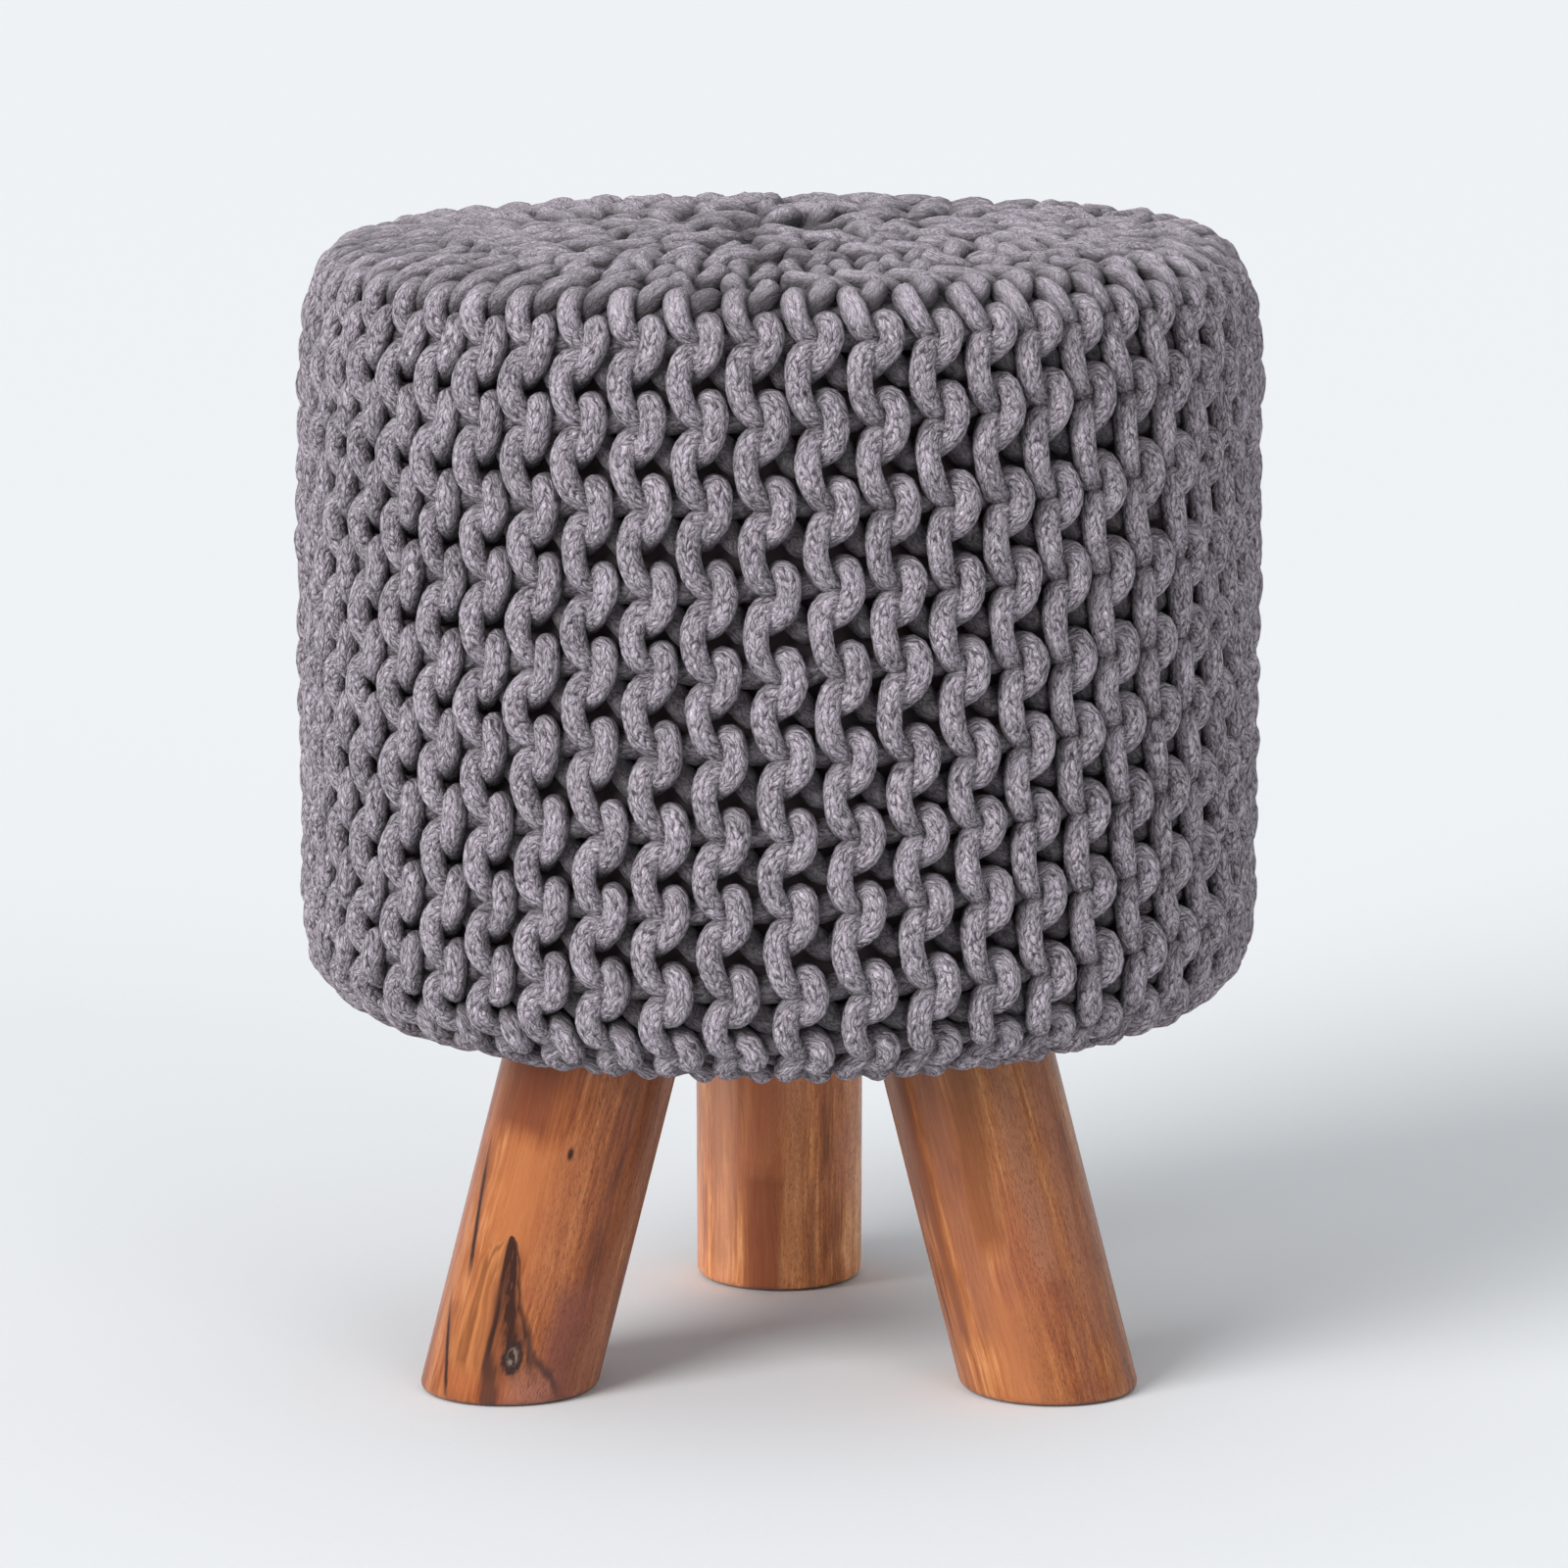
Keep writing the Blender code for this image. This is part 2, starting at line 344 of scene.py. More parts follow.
class Knitting:
    """Lays the courses of cord over the seat's form."""

    def __init__(self):
        self.form = Form(CORD_RADIUS - PROUD)
        self.random = np.random.default_rng(SEED)
        width, self.reach, self.reach_under = shares(self.form)
        total = width.sum(axis=0)
        edges = np.concatenate([np.zeros((1, len(total))), np.cumsum(width, axis=0)]) / total
        edges = edges * math.tau
        self.edges = edges + CROWDING * np.sin(2.0 * edges) / 2.0
        self.loops = int(self.form.length / LOOP_PITCH) + 4
        self.side_slip, self.down_slip, self.depth_slip = (
            sum(self.uneven(blur) * size for blur, size in slip)
            for slip in (SIDE_SLIP, DOWN_SLIP, DEPTH_SLIP))

    def uneven(self, blur):
        """Random values over the knitting, two for each loop, that agree with near ones."""
        values = self.random.normal(size=(COURSES, self.loops * 2))
        for _ in range(blur):
            values = (2 * values + np.roll(values, 1, axis=0) + np.roll(values, -1, axis=0)) / 4
            values[:, 1:-1] = (2 * values[:, 1:-1] + values[:, :-2] + values[:, 2:]) / 4
        return values / values.std()

    def slip(self, values, index, column, distance):
        """What uneven values say at places in one course."""
        steps = np.arange(self.loops * 2) * LOOP_PITCH / 2
        near, far = (np.interp(distance, steps, values[(index + i) % COURSES]) for i in (0, 1))
        return near * (1.0 - column) + far * column

    def lean(self, angle):
        """How far a column drifts to the right, as a slope, at this place round the seat."""
        return DRIFT + DRIFT_SWING * np.sin(angle)

    def ends(self, index):
        """The distances along the profile at which a course starts and stops."""
        radius, along, middle = self.form.points[:, 0], self.form.along, PROFILE_POINTS // 2
        start = np.interp(self.reach[index], radius[:middle], along[:middle])
        end = np.interp(self.reach_under[index], radius[middle:][::-1], along[middle:][::-1])
        return start, end

    def course(self, index):
        """The centre line of one course: points, outward normals, the cord's radius, its depth."""
        form, table = self.form, np.array(LOOP)
        scale = LOOP_PITCH / LOOP_TABLE_PITCH
        start, end = self.ends(index)
        phase = ROW_START - ROW_CLIMB * LOOP_PITCH * index / COURSES
        base = phase + np.arange(-2, self.loops + 2) * LOOP_PITCH
        distance = (base[:, None] + table[None, :, 2] * scale).ravel()
        column, side, _, depth = np.tile(table, (len(base), 1)).T
        kept = (distance >= start) & (distance <= end)
        column, side, depth, distance = (v[kept] for v in (column, side, depth, distance))
        side = side / MILLIMETRES + self.slip(self.side_slip, index, column, distance)
        depth = depth / MILLIMETRES + self.slip(self.depth_slip, index, column, distance)
        under = ease((distance / form.length - UNDER_FROM) / UNDER_RUN)
        depth = (depth + LOOP_MIDDLE) * (1.0 - UNDER_PRESS * under) - LOOP_MIDDLE
        depth = depth - UNDER_SINK * under
        to_end = np.minimum(distance - start, end - distance)
        depth = depth - END_SINK * ease(1.0 - to_end / END_RUN)
        distance = distance + self.slip(self.down_slip, index, column, distance)
        curve = smooth(np.stack([column, side, distance, depth], -1))
        behind = ease((-curve[:, 3] - LOOP_MIDDLE) / LOOP_MIDDLE)
        radius = CORD_RADIUS * (1.0 + HIDDEN_SWELL * behind)
        points, normals = self.place(index, curve)
        return np.column_stack([points, normals, radius, curve[:, 3]])

    def place(self, index, curve):
        """Share of the way to the next column, side, distance and depth, as points on the seat."""
        form = self.form
        column, side, distance, depth = curve.T
        left = np.interp(distance, form.along, self.edges[index])
        right = np.interp(distance, form.along, self.edges[index + 1])
        radius, height, out, up = form.at(distance)
        angle = left + (right - left) * column
        angle = angle + self.lean(angle) * (distance - form.length * 0.5) / SEAT_RADIUS
        outward = np.stack([np.sin(angle), -np.cos(angle)], -1)
        across = np.stack([np.cos(angle), np.sin(angle)], -1)
        flat = outward * (radius + out * depth)[:, None] + across * side[:, None]
        points = np.concatenate([flat, (height + up * depth)[:, None]], -1)
        settle(points, height)
        normals = np.concatenate([outward * out[:, None], up[:, None]], -1)
        return points, normals


def spread(strand, count):
    """A strand with fewer points, closer together where it bends, and their distances along it."""
    steps = np.diff(strand[:, :3], axis=0)
    lengths = np.linalg.norm(steps, axis=1)
    ahead = steps / np.maximum(lengths, 1e-9)[:, None]
    bend = np.linalg.norm(np.diff(ahead, axis=0), axis=1) / np.maximum(lengths[1:], 1e-9)
    bend = np.concatenate([bend[:1], bend, bend[-1:]])
    weight = 1.0 + BEND_WEIGHT * np.minimum(bend, BEND_MOST)
    cost = np.concatenate([[0.0], np.cumsum((weight[1:] + weight[:-1]) / 2 * lengths)])
    wanted = np.linspace(0.0, cost[-1], count)
    along = np.interp(wanted, cost, distances(strand[:, :3]))
    strand = np.stack([np.interp(wanted, cost, values) for values in strand.T], -1)
    strand[:, 3:6] /= np.linalg.norm(strand[:, 3:6], axis=1)[:, None]
    return strand, along


class Tubes:
    """Gathers lengths of cord into one mesh, with a map along and round each and one of depth."""

    def __init__(self, seed):
        self.points, self.quads, self.caps, self.maps, self.lies = [], [], [], [], []
        self.count = 0
        self.random = np.random.default_rng(seed)

    def add(self, strand, along):
        """One length of cord round a strand's centre line."""
        points, normals, radius, depth = np.split(strand, (3, 6, 7), axis=1)
        ahead = np.gradient(points, axis=0)
        ahead /= np.linalg.norm(ahead, axis=1)[:, None]
        out = normals - ahead * np.sum(normals * ahead, axis=1)[:, None]
        out /= np.linalg.norm(out, axis=1)[:, None]
        side = np.cross(ahead, out)
        turn = math.pi + np.arange(CORD_SIDES) * math.tau / CORD_SIDES
        ring = (out[:, None, :] * np.cos(turn)[None, :, None]
                + side[:, None, :] * np.sin(turn)[None, :, None])
        mesh = points[:, None, :] + ring * (radius * self.lumps(len(points)))[:, :, None]
        self.points.append(mesh.reshape(-1, 3))
        sunk = (radius * (1.0 - np.cos(turn)) - depth).ravel()
        self.join(len(points), along, sunk)

    def join(self, rows, along, sunk):
        """The faces of a length of cord, with each corner's place on the cord and its depth."""
        row, column = np.meshgrid(np.arange(rows - 1), np.arange(CORD_SIDES), indexing="ij")
        following = (column + 1) % CORD_SIDES
        quads = np.stack([row * CORD_SIDES + column, row * CORD_SIDES + following,
                          (row + 1) * CORD_SIDES + following, (row + 1) * CORD_SIDES + column], -1)
        self.quads.append(quads.reshape(-1, 4) + self.count)
        across = np.stack([column, column + 1, column + 1, column], -1) / CORD_SIDES
        down = np.stack([along[row], along[row], along[row + 1], along[row + 1]], -1)
        self.maps.append(np.stack([down, across], -1).reshape(-1, 2))
        lie = sunk[quads]
        self.lies.append(np.stack([lie, np.zeros_like(lie)], -1).reshape(-1, 2))
        first = np.arange(CORD_SIDES)[::-1] + self.count
        last = np.arange(CORD_SIDES) + self.count + (rows - 1) * CORD_SIDES
        self.caps += [first, last]
        self.count += rows * CORD_SIDES

    def lumps(self, rows):
        """How far each point of a cord stands out, a little more or less than its radius."""
        uneven = self.random.normal(size=(rows, CORD_SIDES))
        uneven = (2 * uneven + np.roll(uneven, 1, axis=1) + np.roll(uneven, -1, axis=1)) / 4
        uneven[1:-1] = (2 * uneven[1:-1] + uneven[:-2] + uneven[2:]) / 4
        return 1.0 + CORD_LUMPS * uneven / uneven.std()

    def build(self, name, material):
        points = np.concatenate(self.points)
        quads = np.concatenate(self.quads)
        caps = np.array(self.caps)
        loops = np.concatenate([quads.ravel(), caps.ravel()])
        sizes = np.concatenate([np.full(len(quads), 4), np.full(len(caps), CORD_SIDES)])
        starts = np.concatenate([[0], np.cumsum(sizes)[:-1]])
        mesh = bpy.data.meshes.new(name)
        mesh.vertices.add(len(points))
        mesh.vertices.foreach_set("co", points.ravel())
        mesh.loops.add(len(loops))
        mesh.loops.foreach_set("vertex_index", loops)
        mesh.polygons.add(len(sizes))
        mesh.polygons.foreach_set("loop_start", starts)
        mesh.update(calc_edges=True)
        for name_of_map, values in (("cord_run", self.maps), ("cord_lie", self.lies)):
            layer = mesh.uv_layers.new(name=name_of_map)
            uv = np.concatenate([np.concatenate(values), np.zeros((caps.size, 2))])
            layer.data.foreach_set("uv", uv.ravel())
        mesh.shade_smooth()
        return new_item(name, mesh, material)


# ---- materials -------------------------------------------------------------------
class Reading:
    """One output of a material's node.  Arithmetic on it adds Math nodes."""

    def __init__(self, finish, socket):
        self.finish, self.socket = finish, socket

    def output(self, number):
        """Another output of the same node."""
        return Reading(self.finish, self.socket.node.outputs[number])

    def math(self, operation, *others):
        values = dict(enumerate((self, *others)))
        return self.finish.node("ShaderNodeMath", {"operation": operation}, values)

    def __add__(self, other):
        return self.math("ADD", other)

    __radd__ = __add__

    def __sub__(self, other):
        return self.math("SUBTRACT", other)

    def __rsub__(self, other):
        return (self * -1.0) + other

    def __mul__(self, other):
        return self.math("MULTIPLY", other)

    __rmul__ = __mul__

    def __truediv__(self, other):
        return self.math("DIVIDE", other)

    def __pow__(self, other):
        return self.math("POWER", other)

    def __abs__(self):
        return self.math("ABSOLUTE")

    def sine(self):
        return self.math("SINE")

    def clamp(self):
        return self.math("MAXIMUM", 0.0).math("MINIMUM", 1.0)


class Finish:
    """The nodes of a material, or of the room, and its one shader."""

    def __init__(self, name, owner=None, shader="Principled BSDF", **constants):
        self.material = owner or bpy.data.materials.new(name)
        self.material.use_nodes = True
        self.tree = self.material.node_tree
        self.shader = self.tree.nodes[shader]
        for key, value in constants.items():
            self.shader.inputs[key.replace("_", " ")].default_value = value

    def node(self, kind, settings=None, sockets=None, output=0):
        made = self.tree.nodes.new(kind)
        for key, value in (settings or {}).items():
            if key == "stops":
                self.set_stops(made.color_ramp, value)
            else:
                setattr(made, key, value)
        for key, value in (sockets or {}).items():
            self.feed(made.inputs[key], value)
        return Reading(self, made.outputs[output])

    def set_stops(self, ramp, stops):
        while len(ramp.elements) > 1:
            ramp.elements.remove(ramp.elements[-1])
        for number, (position, colour) in enumerate(stops):
            element = ramp.elements[0] if number == 0 else ramp.elements.new(position)
            element.position = position
            element.color = (*colour, 1.0)

    def feed(self, socket, value):
        if isinstance(value, Reading):
            self.tree.links.new(value.socket, socket)
        else:
            socket.default_value = value

    def shade(self, **sockets):
        for key, value in sockets.items():
            self.feed(self.shader.inputs[key.replace("_", " ")], value)

    def mix(self, factor, first, second):
        """From one colour to another.  The second is always a plain colour."""
        return self.node("ShaderNodeMix", {"data_type": "RGBA"},
                         {0: factor, 6: first, 7: (*second, 1.0)}, output=2)

    def object_place(self):
        return self.node("ShaderNodeTexCoord", output="Object")

    def parts(self, vector):
        """A vector's three numbers."""
        first = self.node("ShaderNodeSeparateXYZ", None, {0: vector})
        return first, first.output(1), first.output(2)

    def stretch(self, vector, factors, shift):
        """A place scaled by a factor along each axis, and moved on to another part of the noise."""
        return self.node("ShaderNodeVectorMath", {"operation": "MULTIPLY_ADD"},
                         {0: vector, 1: factors, 2: (shift, shift * 1.7, shift * 2.3)})

    def noise(self, vector, scale, detail=2.0, roughness=0.5):
        return self.node("ShaderNodeTexNoise", None,
                         {"Vector": vector, "Scale": scale, "Detail": detail,
                          "Roughness": roughness})


def braid(finish, place):
    """A place along and across the slanting strands of the cord's braid, and across its track."""
    along, around, _ = finish.parts(finish.node("ShaderNodeUVMap", {"uv_map": "cord_run"}))
    bend = finish.noise(place, 330.0, 2.0) - 0.5
    sway = finish.noise(place, 410.0, 2.0, 0.6) - 0.5
    turn = around * BRAID_TRACKS + bend * 1.1
    track = turn.math("FLOOR")
    across = turn - track - 0.5
    hand = track.math("MODULO", 2.0) * 2.0 - 1.0
    length = along * MILLIMETRES + sway * 2.2
    width = across * hand * TRACK_WIDTH
    strands = finish.node("ShaderNodeCombineXYZ", None, {
        0: (length * SLANT_ALONG + width * SLANT_ACROSS) * STRAND_LONG + track * 3.7,
        1: (width * SLANT_ALONG - length * SLANT_ACROSS) * STRAND_WIDE + track * 5.3})
    return strands, across


def cord_finish():
    """Braided cotton: slanting yarns in short strands round the cord, with soft uneven fibres."""
    finish = Finish("cotton_cord", Roughness=0.95, Sheen_Weight=0.15, Sheen_Roughness=0.6,
                    Specular_IOR_Level=0.1)
    place = finish.object_place()
    strands, across = braid(finish, place)
    yarn = finish.node("ShaderNodeTexVoronoi", {"voronoi_dimensions": "2D", "feature": "F1"},
                       {"Vector": strands, "Scale": 1.0, "Randomness": 0.85})
    chance = finish.parts(yarn.output(1))[0]
    height = (1.0 - yarn * 1.25).clamp() * (1.0 - abs(across * 2.0) ** 5.0 * 0.7)
    fine = finish.node("ShaderNodeVectorMath", {"operation": "MULTIPLY"},
                       {0: strands, 1: (1.3, 7.0, 1.0)})
    fibre = finish.noise(fine, 1.0, 3.0, 0.65)
    broad = finish.noise(place, 60.0, 3.0)
    crack_breakup = finish.noise(place, 520.0, 2.0, 0.6)
    fuzz = finish.noise(place, 1900.0, 2.0, 0.6)
    # Painted shade and highlight: the cracks between strands are painted dark, in patches, and the
    # yarns' raised middles lighter
    crack_shade = (1.0 - height * 3.0).clamp() * (0.50 + (crack_breakup - 0.45) * 3.0).clamp()
    top = ((finish.parts(place)[2] - TOP_FROM) * TOP_RISE).clamp()
    marks = (fibre - 0.5) * 1.2 + (height - 0.5) * 0.36 + (chance - 0.5) * 0.28 - crack_shade * 0.36
    tone = 0.64 + marks * (1.0 - top * 0.5) + (broad - 0.5) * 0.3 + (fuzz - 0.5) * 0.6
    # painted light: the top is made lighter
    tone = tone + top * 0.12
    colour = finish.node("ShaderNodeValToRGB", {"stops": CORD_TONES}, {0: tone.clamp()})
    # Painted shade: the deeper the cord lies in the knitting, the darker it is painted; on the top
    # it starts shallower and grows faster
    lie = finish.node("ShaderNodeUVMap", {"uv_map": "cord_lie"})
    sunk = finish.parts(lie)[0] * MILLIMETRES - SHADED_FROM * (1.0 - top * 0.75)
    sunk = (sunk / (SHADED_TO - SHADED_FROM) * (1.0 + top)).clamp()
    colour = finish.mix(sunk * SHADED, colour, CORD_DEPTH_SHADE)
    bump = finish.node("ShaderNodeBump", None,
                       {"Strength": 1.0, "Distance": 0.0015, "Height": height + fibre * 0.7})
    finish.shade(Base_Color=colour, Normal=bump)
    return finish.material


def two_tones(name, tones, scale, detail, **constants):
    """A plain finish whose noise runs from one tone to the other."""
    finish = Finish(name, **constants)
    tone = finish.noise(finish.object_place(), scale, detail)
    finish.shade(Base_Color=finish.mix(tone, (*tones[0], 1.0), tones[1]))
    return finish.material


def leg_frame(direction):
    """A leg's own frame: from the middle of its foot, +Z up its middle and +X outward."""
    outward = Vector((math.cos(direction), math.sin(direction), 0.0))
    across = Vector((0.0, 0.0, 1.0)).cross(outward)
    axis = (Vector((0.0, 0.0, 1.0)) - outward * math.tan(LEG_SPLAY)).normalized()
    own = Matrix((across.cross(axis), across, axis)).transposed().to_4x4()
    own.translation = outward * FOOT_CIRCLE
    return own


def leg_map(finish, own, facing):
    """A place in a leg's own frame, and in millimetres round from its front and up its length."""
    place = finish.node("ShaderNodeMapping", {"vector_type": "TEXTURE"}, {
        "Vector": finish.object_place(), "Location": own.translation,
        "Rotation": own.to_euler()})
    turned = finish.node("ShaderNodeVectorRotate", {"rotation_type": "Z_AXIS"},
                         {"Vector": place, "Angle": -math.radians(facing)})
    forward, side, rise = finish.parts(turned)
    waver = finish.noise(finish.stretch(place, (24.0, 24.0, 9.0), 3.1), 1.0, 2.0) - 0.5
    around = side.math("ARCTAN2", forward) * LEG_RADIUS * MILLIMETRES
    return place, around + waver * 5.0, rise * MILLIMETRES


def span(rise, low, high, fade):
    """1 between two heights and 0 beyond, softly: over BAND_FADE below and over fade above."""
    return ((rise - low) / BAND_FADE).clamp() * ((high - rise) / fade).clamp()


def band(around, rise, centre, slope, half, low, high):
    """1 along a stripe of the grain and 0 beside it, softly."""
    off = abs(around - centre - rise * slope)
    inside = (1.35 - off / half).clamp()
    return inside * inside * (3.0 - inside * 2.0) * span(rise, low, high, BAND_FADE)


def oval(around, rise, place, size):
    """How far out from an oval's middle: 1 is on its rim."""
    return (((around - place[0]) / size[0]) ** 2.0
            + ((rise - place[1]) / size[1]) ** 2.0).math("SQRT")


def flame(finish, colour, strayed, up, wisp, ragged, streaks):
    """Dark streaked wood, widest at its foot, with pale lined wood along its left."""
    climb = ((up - FLAME_FOOT) / FLAME_LENGTH).clamp()
    reach = (1.0 - climb) ** FLAME_TAPER * FLAME_HALF + 0.02
    side = (strayed - FLAME_TIP[0] - (FLAME_TIP[1] - up) * FLAME_LEAN) / reach
    above = ((up - 2.0) / 6.0).clamp()
    lines = (side * FLAME_LINES + wisp * 5.0).sine() * 0.5 + 0.5
    near = (1.0 - abs(side + 1.8) / 1.3).clamp() * above * ((64.0 - up) / 16.0).clamp()
    colour = finish.mix(near * 0.60, colour, FLAME_PALE)
    colour = finish.mix(near * lines * 0.90, colour, FLAME_LINE)
    inside = ((1.15 - abs(side)) / 0.40).clamp() * above * (1.0 - climb).math("CEIL")
    colour = finish.mix(inside * 0.85, colour, FLAME_GROUND)
    rim = (1.0 - abs(side + 0.82) / 0.30).clamp() + (1.0 - abs(side - 0.88) / 0.22).clamp() * 0.75
    core = (1.5 - abs(side - 0.10 - wisp) / 0.42).clamp() * ((up - 15.0) / 12.0).clamp()
    dark = rim + core * (1.0 + ragged * 2.5 + wisp * 2.5) + lines * 0.55 + (streaks - 0.5) * 3.0
    return finish.mix(dark.clamp() * inside * 0.97, colour, FLAME_DARK)


def knot(finish, colour, around, rise, strayed, up, ragged):
    """A dark knot with a pale broken ring, and the dark grain that slants past and below it."""
    below = band(strayed, rise, 8.0, 0.0, 10.0, -14.0, 14.0)
    colour = finish.mix(below * 0.75, colour, BELOW_KNOT)
    slant = (1.3 - abs(up - 16.9 + (strayed - 4.6) * 0.80) / 2.6).clamp()
    slant = slant * band(around, rise, 10.5, 0.0, 9.5, -8.0, 28.0)
    colour = finish.mix(slant * 0.88, colour, SLANT_COLOUR)
    foot = band(strayed, rise, -7.5, -0.20, 2.6, -14.0, 18.0)
    colour = finish.mix(foot * 0.85, colour, FOOT_CRACK)
    ring = oval(around, rise, KNOT_PLACE, KNOT_SIZE) + ragged * 1.1
    colour = finish.mix(((1.35 - ring) / 0.3).clamp() * 0.97, colour, KNOT_DARK)
    pale = (1.0 - abs(ring - 0.55) / 0.30).clamp() * (0.3 + ragged * 6.0).clamp()
    return finish.mix(pale * 0.75, colour, KNOT_PALE)


def cracks(finish, colour, around, rise, ragged):
    """Two short cracks at the left of the figured leg, each between darkened sides."""
    for centre, measured_at, slope, low, high, half in CRACKS:
        off = abs(around + ragged * 0.8 - centre + (rise - measured_at) * slope)
        ends = span(rise, low, high, 16.0)
        colour = finish.mix((1.0 - off / 3.2).clamp() * ends * 0.6, colour, CRACK_SIDES)
        colour = finish.mix((1.7 - off / half).clamp() * ends * 0.95, colour, CRACK_DARK)
    return colour


def leg_figure(finish, colour, place, around, rise, streaks):
    """What sets the figured leg apart: flame, knot, a reddish patch, cracks and a pin mark."""
    stray = finish.noise(finish.stretch(place, (110.0, 110.0, 30.0), 8.3), 1.0, 2.0) - 0.5
    wisp = finish.noise(finish.stretch(place, (330.0, 330.0, 34.0), 4.1), 1.0, 3.0, 0.55) - 0.5
    ragged = finish.noise(finish.stretch(place, (520.0, 520.0, 260.0), 2.2), 1.0, 3.0, 0.65) - 0.5
    strayed, up = around + stray * 6.0 + wisp * 4.0, rise + stray * 6.0
    colour = flame(finish, colour, strayed, up, wisp, ragged, streaks)
    colour = knot(finish, colour, around, rise, strayed, up, ragged)
    patch = band(strayed, up, 19.0, 0.0, 8.0, 26.0, 52.0) * (0.55 + ragged * 5.0).clamp()
    colour = finish.mix(patch * 0.75, colour, PATCH_COLOUR)
    colour = cracks(finish, colour, around, rise, ragged)
    pin = oval(around, rise, PIN_PLACE, PIN_SIZE)
    return finish.mix((1.8 - pin).clamp(), colour, PIN_COLOUR)


def wandering(finish, place, seed):
    """A place moved a little to and fro across the grain."""
    wander = finish.node("ShaderNodeTexNoise", None, {
        "Vector": finish.stretch(place, (34.0, 34.0, 15.0), seed + 3.0), "Scale": 1.0,
        "Detail": 2.0}, output=1)
    return finish.node("ShaderNodeVectorMath", {"operation": "MULTIPLY_ADD"},
                       {0: wander, 1: (0.007, 0.007, 0.0), 2: place})


def wood_finish(name, own, facing, seed, light):
    """Lacquered hardwood with its grain along the leg, and each leg's own stripes."""
    finish = Finish("lacquered_wood_" + name.removeprefix("leg_"), Specular_IOR_Level=0.2,
                    Coat_Weight=0.45, Coat_Roughness=0.25)
    place, around, rise = leg_map(finish, own, facing)
    grain = wandering(finish, place, seed)
    broad = finish.noise(finish.stretch(grain, (42.0, 42.0, 5.0), seed), 1.0, 2.0)
    streaks = finish.noise(finish.stretch(grain, (190.0, 190.0, 9.0), seed + 5.0), 1.0, 4.0, 0.6)
    fibre = finish.noise(finish.stretch(grain, (900.0, 900.0, 36.0), seed), 1.0, 3.0, 0.6)
    mottle = finish.noise(finish.stretch(place, (85.0, 85.0, 32.0), seed + 12.0), 1.0, 4.0, 0.65)
    tone = 0.50 + (broad - 0.5) * 1.0 + (streaks - 0.5) * 1.1 + (fibre - 0.5) * 1.0
    tone = tone + (mottle - 0.5) * 0.7
    colour = finish.node("ShaderNodeValToRGB", {"stops": WOOD_TONES}, {0: tone})
    redness = finish.noise(finish.stretch(place, (40.0, 40.0, 12.0), seed + 9.0), 1.0, 3.0)
    colour = finish.mix(((redness - 0.48) * 5.0).clamp() * 0.6, colour, RED_WOOD)
    for centre, slope, half, low, high, shade, strength in GRAIN[name]:
        mask = band(around, rise, centre, slope, half, low, high)
        mask = mask * strength * (0.55 + streaks * 0.9)
        colour = finish.mix(mask.clamp(), colour, shade)
    if name == FIGURED_LEG:
        colour = leg_figure(finish, colour, place, around, rise, streaks)
    pores = finish.noise(finish.stretch(place, (2900.0, 2900.0, 420.0), seed), 1.0, 3.0, 0.7)
    pores = ((pores - 0.50) * 7.0).clamp() * (0.22 + ((around + 8.0) / 14.0).clamp())
    colour = finish.mix((pores * 0.55).clamp(), colour, PORE_COLOUR)
    height = finish.node("ShaderNodeVectorMath", {"operation": "DOT_PRODUCT"},
                         {0: place, 1: (math.sin(LEG_SPLAY), 0.0, math.cos(LEG_SPLAY))}, output=1)
    # Painted light: the wood's colour times the leg's factor from LEGS
    colour = finish.node("ShaderNodeVectorMath", {"operation": "MULTIPLY"},
                         {0: colour, 1: light})
    foot = (FOOT_SHADE_HEIGHT - height * MILLIMETRES).clamp()
    colour = finish.mix(foot * 0.85, colour, FOOT_SHADE)
    bump = finish.node("ShaderNodeBump", None, {"Strength": 0.5, "Distance": 0.0002,
                                                "Height": fibre * 0.5 - pores * 0.6})
    finish.shade(Base_Color=colour, Roughness=0.44 + pores * 0.25 + streaks * 0.1, Normal=bump)
    return finish.material


# ---- pieces ----------------------------------------------------------------------
def new_item(name, mesh, material):
    mesh.materials.append(material)
    item = bpy.data.objects.new(name, mesh)
    bpy.context.collection.objects.link(item)
    return item


def ring_faces(rows, sides, falling=False):
    """Faces between rings of points, and one at each end.  The rings rise, unless falling."""
    faces = []
    for row in range(rows - 1):
        for side in range(sides):
            here, ahead = row * sides + side, row * sides + (side + 1) % sides
            if falling:
                faces.append((here, here + sides, ahead + sides, ahead))
            else:
                faces.append((here, ahead, ahead + sides, here + sides))
    first = list(range(sides))
    last = [(rows - 1) * sides + side for side in range(sides)]
    (last if falling else first).reverse()
    return faces + [first, last]


def knit_cover(material):
    """The cover in six pieces, side by side round the seat."""
    knitting = Knitting()
    parts = ("front_right", "right", "back_right", "back_left", "left", "front_left")
    starts = [round(COURSES * i / len(parts)) for i in range(len(parts) + 1)]
    for number, part in enumerate(parts):
        tubes = Tubes(SEED + number)
        for index in range(starts[number], starts[number + 1]):
            strand = knitting.course(index)
            length = distances(strand[:, :3])[-1]
            strand, along = spread(strand, int(length / LOOP_LENGTH * SEGMENTS_A_LOOP))
            tubes.add(strand, along + index * CORD_SHIFT)
        piece = tubes.build("knitting_" + part, material)
        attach(piece, "root")
        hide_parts("knitted_cover")


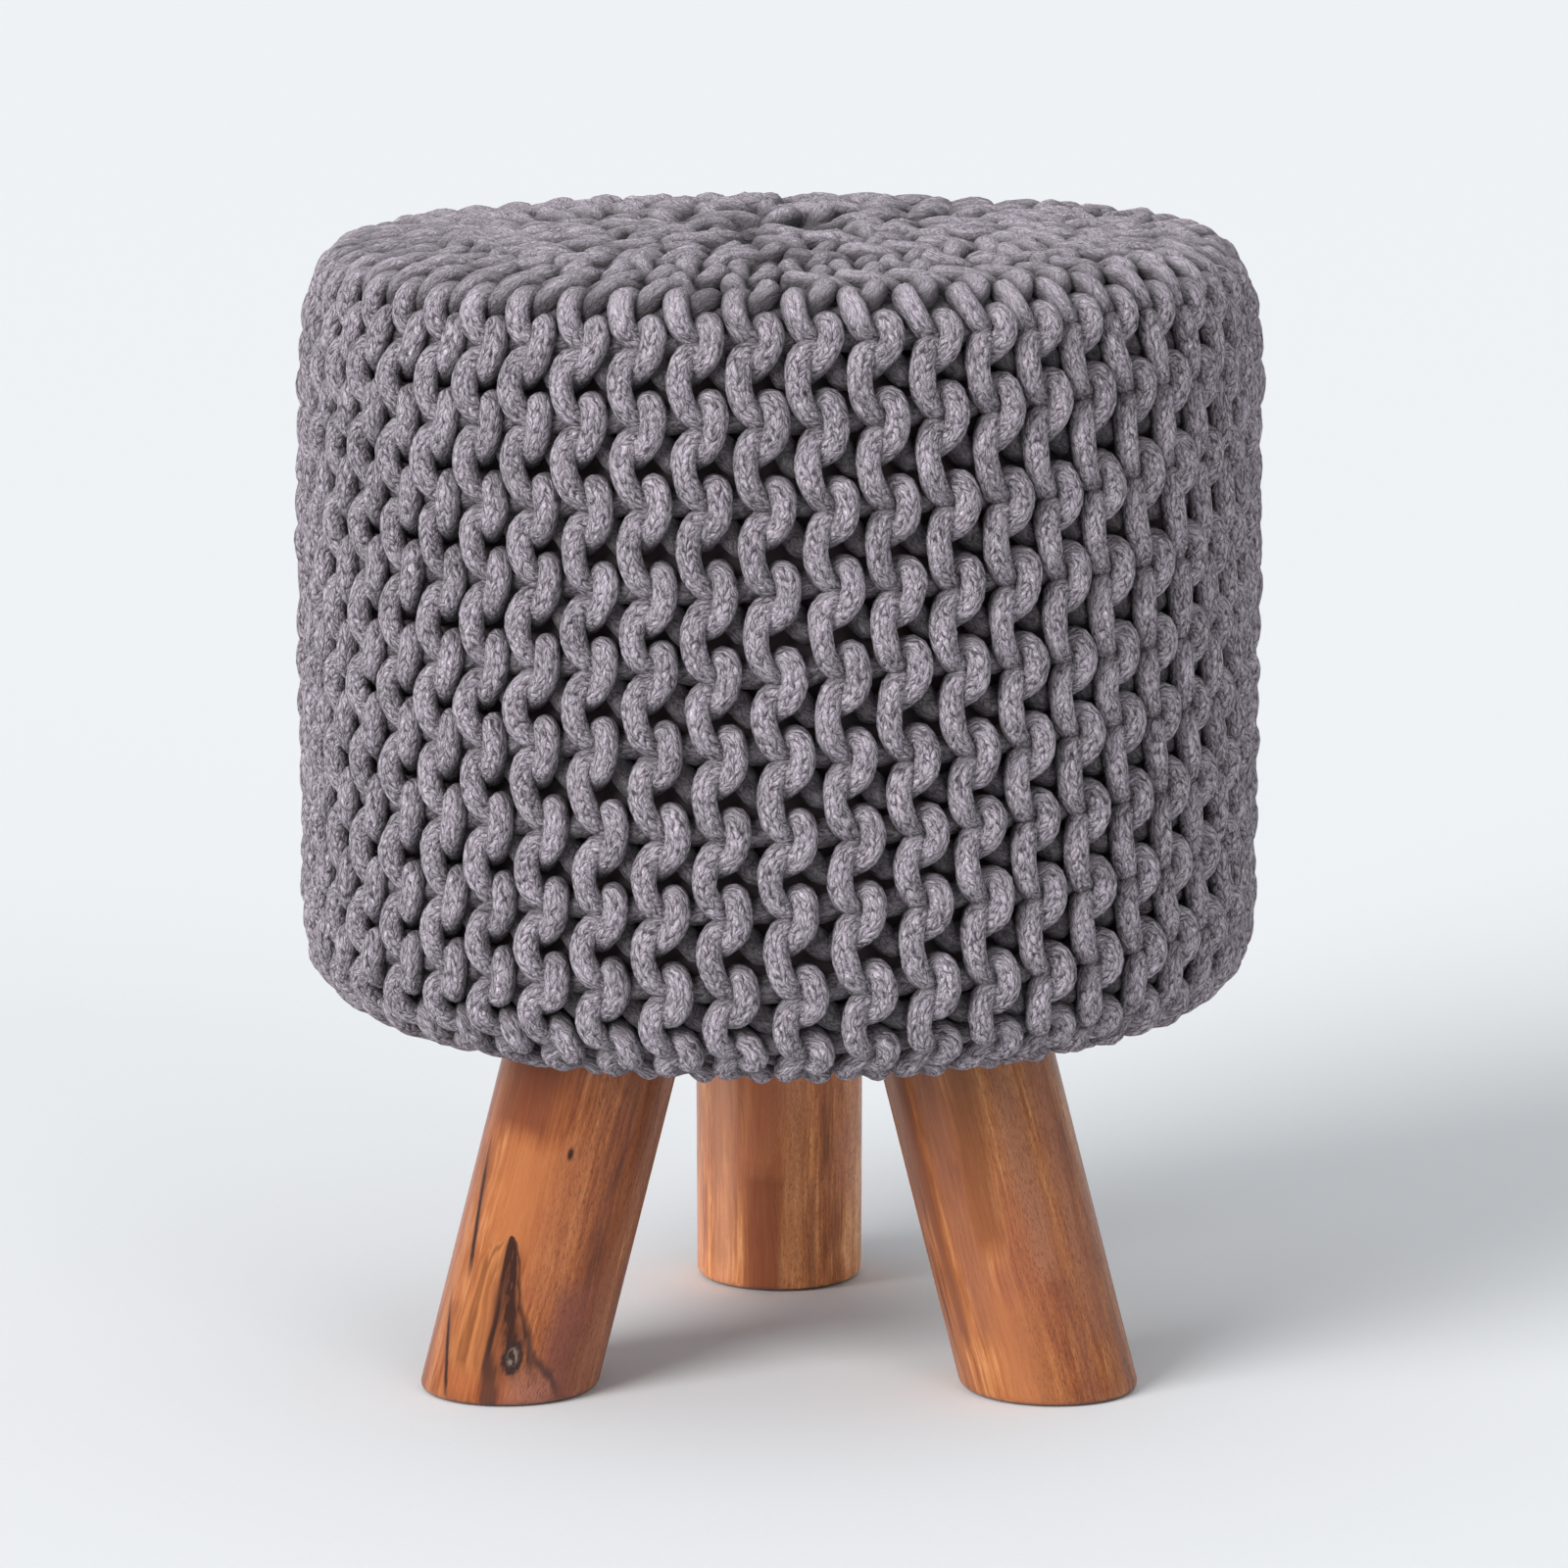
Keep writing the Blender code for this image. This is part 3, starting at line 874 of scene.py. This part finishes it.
def seat_core(material):
    """The filled seat inside the knitting, seen only in the gaps, painted very dark to stand for
    their shade.
    """
    form = Form(CORE_INSET)
    distance = np.linspace(0.0, form.length, CORE_ROWS)[1:-1]
    radius, height, _, _ = form.at(distance)
    turn = np.arange(CORE_SIDES) * math.tau / CORE_SIDES
    rings = np.stack([radius[:, None] * np.cos(turn), radius[:, None] * np.sin(turn),
                      np.repeat(height[:, None], CORE_SIDES, axis=1)], -1)
    mesh = bpy.data.meshes.new("seat_core")
    mesh.from_pydata([tuple(p) for p in rings.reshape(-1, 3)], [],
                     ring_faces(len(distance), CORE_SIDES, falling=True))
    mesh.shade_smooth()
    piece = new_item("seat_core", mesh, material)
    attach(piece, "root")
    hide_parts("knitted_cover")


def leg_rings(top):
    """Radius and height of each ring of a leg, from inside its foot to inside its top."""
    edge = [(LEG_RADIUS - FOOT_EDGE * (1.0 - math.sin(turn)), FOOT_EDGE * (1.0 - math.cos(turn)))
            for turn in np.radians(np.linspace(0.0, 90.0, FOOT_EDGE_STEPS))]
    shank = [(LEG_RADIUS, height) for height in np.linspace(FOOT_EDGE, top, LEG_ROWS)[1:]]
    foot = [(edge[0][0] * share, 0.0) for share in CAP_RINGS]
    return foot + edge + shank + [(LEG_RADIUS * share, top) for share in reversed(CAP_RINGS)]


def turned_leg(name, own, material):
    """A round leg with its foot and top cut level."""
    rings = leg_rings(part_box(name)[1][2])
    outward, across = own.translation.normalized(), own.col[1].to_3d()
    points = []
    for radius, height in rings:
        for side in range(LEG_SIDES):
            turn = math.tau * side / LEG_SIDES
            reach = FOOT_CIRCLE + radius * math.cos(turn) / math.cos(LEG_SPLAY)
            place = outward * (reach - height * math.tan(LEG_SPLAY))
            place = place + across * radius * math.sin(turn)
            points.append((place.x, place.y, height))
    mesh = bpy.data.meshes.new("turned_" + name)
    mesh.from_pydata(points, [], ring_faces(len(rings), LEG_SIDES))
    mesh.shade_smooth()
    mesh.set_sharp_from_angle(angle=math.radians(40.0))
    piece = new_item("turned_" + name, mesh, material)
    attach(piece, "root")
    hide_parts(name)


def legs():
    for name, degrees, facing, seed, light in LEGS:
        own = leg_frame(math.radians(degrees))
        turned_leg(name, own, wood_finish(name, own, facing, seed, light))


# ---- surroundings ----------------------------------------------------------------
def studio():
    """A wide pale floor, so that it looks the same from all sides."""
    points, faces = [(0.0, 0.0, 0.0)], []
    for reach in FLOOR_RINGS:
        for side in range(FLOOR_SIDES):
            turn = math.tau * side / FLOOR_SIDES
            points.append((reach * math.cos(turn), reach * math.sin(turn), 0.0))
    for side in range(FLOOR_SIDES):
        following = (side + 1) % FLOOR_SIDES
        faces.append((0, 1 + side, 1 + following))
        for ring in range(len(FLOOR_RINGS) - 1):
            inner, outer = 1 + ring * FLOOR_SIDES, 1 + (ring + 1) * FLOOR_SIDES
            faces.append((inner + side, outer + side, outer + following, inner + following))
    mesh = bpy.data.meshes.new("paper")
    mesh.from_pydata(points, [], faces)
    paper = two_tones("paper", PAPER_TONES, 420.0, 2.0, Roughness=0.9, Specular_IOR_Level=0.2)
    item = new_item("paper", mesh, paper)


def soft_light(name, azimuth, elevation, width, strength):
    """A large light a long way off, so that it lights the floor evenly."""
    data = bpy.data.lights.new(name, "SUN")
    data.angle = math.radians(width)
    data.energy = strength
    turn, rise = math.radians(azimuth), math.radians(elevation)
    toward = Vector((math.sin(turn) * math.cos(rise), -math.cos(turn) * math.cos(rise),
                     math.sin(rise)))
    item = bpy.data.objects.new(name, data)
    item.rotation_euler = toward.to_track_quat("Z", "Y").to_euler()
    item.visible_glossy = False
    bpy.context.collection.objects.link(item)


def room():
    """Soft light from all sides, with more of it low down and overhead."""
    finish = Finish("room", bpy.data.worlds.new("room"), "Background")
    rise = finish.parts(finish.node("ShaderNodeTexCoord"))[2]
    low = (1.0 - abs(rise) / 0.22).clamp()
    high = ((rise - 0.6) / 0.4).clamp()
    finish.shade(Color=ROOM_COLOUR, Strength=0.41 + low * low * 0.40 + high * 0.45)
    bpy.context.scene.world = finish.material
    bpy.context.scene.view_settings.view_transform = "Standard"


def camera():
    """At the photograph's angle: from 3 m in front, looking a little down."""
    data = bpy.data.cameras.new("camera")
    data.sensor_width = SENSOR_WIDTH
    data.lens = FOCAL_LENGTH / IMAGE_WIDTH * SENSOR_WIDTH
    item = bpy.data.objects.new("camera", data)
    item.location = CAMERA_PLACE
    item.rotation_euler = (math.pi / 2 - CAMERA_TILT, 0.0, 0.0)
    bpy.context.collection.objects.link(item)
    bpy.context.scene.camera = item


camera()
knit_cover(cord_finish())
seat_core(two_tones("core_painted_shade", CORE_SHADE_TONES, 300.0, 3.0, Roughness=1.0,
                    Specular_IOR_Level=0.05))
legs()
studio()
for light_settings in LIGHTS:
    soft_light(*light_settings)
room()
